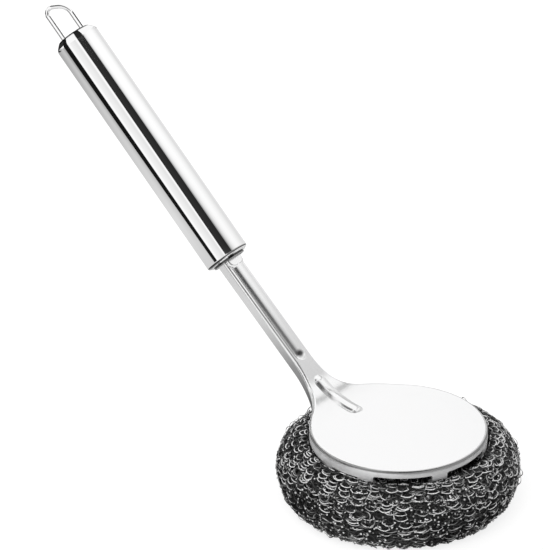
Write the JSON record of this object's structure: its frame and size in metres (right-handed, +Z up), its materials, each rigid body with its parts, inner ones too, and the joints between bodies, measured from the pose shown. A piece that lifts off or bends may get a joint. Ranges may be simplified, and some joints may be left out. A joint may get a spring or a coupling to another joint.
{
  "type": "pot scrubber",
  "caption": "Long-handled pot scrubber: tube handle with hanging loop, stamped holder with claws, round knitted wire scourer that pulls off.",
  "frame": {"origin": "centre of the scourer's flat base, under the middle of the round plate", "axes": "+Z up, handle rises towards -X, Y across; the part is nearly symmetric in Y"},
  "size_m": [0.2337, 0.0992, 0.168],
  "materials": {
    "loop_wire": "bright drawn stainless wire",
    "cap_steel": "pressed and polished stainless sheet",
    "polished_tube": "mirror polished stainless tube",
    "holder_steel": "satin stainless sheet with a fine grain",
    "knitted_wire": "loosely knitted flat stainless wire",
    "tie_wire": "drawn stainless wire"
  },
  "bodies": {
    "holder": {"scrubber_holder": "holder_steel", "handle_bottom_cap": "cap_steel", "handle_tube": "polished_tube", "handle_top_cap": "cap_steel", "hanging_loop": "loop_wire"},
    "scourer": {"scourer_outer_sleeve": "knitted_wire", "scourer_inner_roll": "knitted_wire", "scourer_tie_ring": "tie_wire"}
  },
  "joints": [
    {"name": "holder_lift_off", "type": "slide", "parent": "scourer", "child": "holder", "axis": [0, 0, 1], "range_m": [0, 0.02]}
  ]
}
